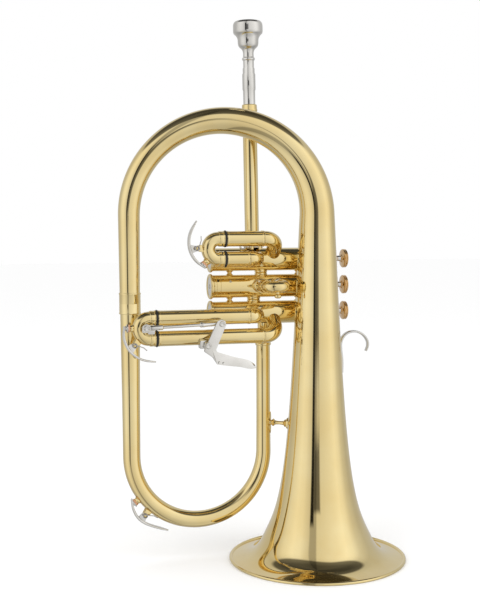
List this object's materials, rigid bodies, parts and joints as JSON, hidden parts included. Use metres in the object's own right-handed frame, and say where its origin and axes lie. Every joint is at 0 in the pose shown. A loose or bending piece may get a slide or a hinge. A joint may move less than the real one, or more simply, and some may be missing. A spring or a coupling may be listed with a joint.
{
  "type": "flugelhorn",
  "caption": "Three-valve flugelhorn with conical bell, bowed loop, valve slides, thumb trigger, water keys and mouthpiece, standing on its bell.",
  "frame": {"origin": "centre of the bell mouth, on the lowest plane of its rim, where the horn stands", "axes": "+Z along the bell's axis towards the mouthpiece end, +X towards the finger buttons, -Y towards the bell's side of the loop"},
  "size_m": [0.2417, 0.1524, 0.4613],
  "materials": {
    "lacquered_brass": "polished, clear lacquer",
    "silver_plate": "polished silver plate",
    "nickel_plate": "ground nickel plate",
    "bronze_lacquer": "polished, warm lacquer",
    "spring_steel": "drawn wire",
    "black_rubber": "matte",
    "cork": "cut cork"
  },
  "bodies": {
    "horn": {"bell": "lacquered_brass", "bell_bow": "lacquered_brass", "bell_tail_tube": "lacquered_brass", "bell_ferrule": "lacquered_brass", "lower_bow": "lacquered_brass", "lower_bow_ferrule": "lacquered_brass", "bell_brace": "lacquered_brass", "valve_casing_1": "lacquered_brass", "valve_casing_2": "lacquered_brass", "valve_casing_3": "lacquered_brass", "bottom_cap_1": "lacquered_brass", "bottom_cap_2": "lacquered_brass", "bottom_cap_3": "lacquered_brass", "top_cap_1": "lacquered_brass", "top_cap_2": "lacquered_brass", "top_cap_3": "lacquered_brass", "valve_knuckles": "lacquered_brass", "valve_posts": "lacquered_brass", "bell_saddles": "lacquered_brass", "slide_1_outer_legs": "lacquered_brass", "slide_3_outer_legs": "lacquered_brass", "slide_saddles": "lacquered_brass", "slide_2_outer_legs": "lacquered_brass", "mouthpipe_sleeve": "lacquered_brass", "finger_hook": "silver_plate", "trigger_post": "silver_plate", "sleeve_screw": "silver_plate", "trigger_spring": "spring_steel", "water_key_mount_2": "lacquered_brass"},
    "mouthpipe": {"mouthpipe": "lacquered_brass", "mouthpiece_receiver": "lacquered_brass"},
    "mouthpiece": {"mouthpiece": "silver_plate"},
    "valve_1": {"piston_1": "nickel_plate", "valve_stem_1": "silver_plate", "finger_button_1": "bronze_lacquer", "valve_spring_1": "spring_steel"},
    "valve_2": {"piston_2": "nickel_plate", "valve_stem_2": "silver_plate", "finger_button_2": "bronze_lacquer", "valve_spring_2": "spring_steel"},
    "valve_3": {"piston_3": "nickel_plate", "valve_stem_3": "silver_plate", "finger_button_3": "bronze_lacquer", "valve_spring_3": "spring_steel"},
    "slide_1": {"slide_1_bow": "lacquered_brass", "slide_1_rings": "black_rubber", "water_key_mount_1": "lacquered_brass"},
    "slide_2": {"slide_2_bow": "lacquered_brass"},
    "slide_3": {"slide_3_bow": "lacquered_brass", "water_key_mount_3": "lacquered_brass", "slide_3_rings": "black_rubber", "slide_3_bracket": "silver_plate"},
    "link_rod": {"slide_3_link_rod": "silver_plate"},
    "trigger": {"trigger_lever": "silver_plate"},
    "water_key_1": {"water_key_1": "silver_plate", "key_cork_1": "cork"},
    "water_key_2": {"water_key_2": "silver_plate", "key_cork_2": "cork"},
    "water_key_3": {"water_key_3": "silver_plate", "key_cork_3": "cork"}
  },
  "joints": [
    {"name": "mouthpipe_pull", "type": "slide", "parent": "horn", "child": "mouthpipe", "axis": [-0.0166, 0, 0.9999], "range_m": [0, 0.012]},
    {"name": "mouthpiece_pull", "type": "slide", "parent": "mouthpipe", "child": "mouthpiece", "axis": [-0.0166, 0, 0.9999], "range_m": [0, 0.018]},
    {"name": "valve_1_press", "type": "slide", "parent": "horn", "child": "valve_1", "axis": [-1, 0, 0], "range_m": [0, 0.016], "stiffness_N_per_m": 120, "springref_m": -0.012, "deforming": ["valve_spring_1"]},
    {"name": "valve_2_press", "type": "slide", "parent": "horn", "child": "valve_2", "axis": [-1, 0, 0], "range_m": [0, 0.016], "stiffness_N_per_m": 120, "springref_m": -0.012, "deforming": ["valve_spring_2"]},
    {"name": "valve_3_press", "type": "slide", "parent": "horn", "child": "valve_3", "axis": [-1, 0, 0], "range_m": [0, 0.016], "stiffness_N_per_m": 120, "springref_m": -0.012, "deforming": ["valve_spring_3"]},
    {"name": "slide_1_pull", "type": "slide", "parent": "horn", "child": "slide_1", "axis": [-1, 0, 0], "range_m": [0, 0.018]},
    {"name": "slide_2_pull", "type": "slide", "parent": "horn", "child": "slide_2", "axis": [0, -1, 0], "range_m": [0, 0.012]},
    {"name": "slide_3_pull", "type": "slide", "parent": "horn", "child": "slide_3", "axis": [-1, 0, 0], "range_m": [0, 0.012], "stiffness_N_per_m": 60, "springref_m": -0.02},
    {"name": "link_rod_swing", "type": "hinge", "parent": "slide_3", "child": "link_rod", "pos_m": [-0.1478, -0.0024, 0.2039], "axis": [0, -1, 0], "range_deg": [0, 4]},
    {"name": "trigger_swing", "type": "hinge", "parent": "horn", "child": "trigger", "pos_m": [-0.097, -0.003, 0.1885], "axis": [0, -1, 0], "range_deg": [0, 38]},
    {"name": "water_key_1_press", "type": "hinge", "parent": "slide_1", "child": "water_key_1", "pos_m": [-0.10254, 0.011, 0.26865], "axis": [0, 1, 0], "range_deg": [0, 14], "stiffness_Nm_per_rad": 0.12, "springref_deg": -14.32},
    {"name": "water_key_2_press", "type": "hinge", "parent": "horn", "child": "water_key_2", "pos_m": [-0.14564, 0.0296, 0.04081], "axis": [0, -1, 0], "range_deg": [0, 11], "stiffness_Nm_per_rad": 0.12, "springref_deg": -14.32},
    {"name": "water_key_3_press", "type": "hinge", "parent": "slide_3", "child": "water_key_3", "pos_m": [-0.15585, 0.011, 0.18883], "axis": [0, -1, 0], "range_deg": [0, 14], "stiffness_Nm_per_rad": 0.12, "springref_deg": -14.32}
  ],
  "couplings": [
    {"joint": "link_rod_swing", "follows": "slide_3_pull", "rad_per_m": 4.9451},
    {"joint": "trigger_swing", "follows": "slide_3_pull", "rad_per_m": 49.451}
  ]
}
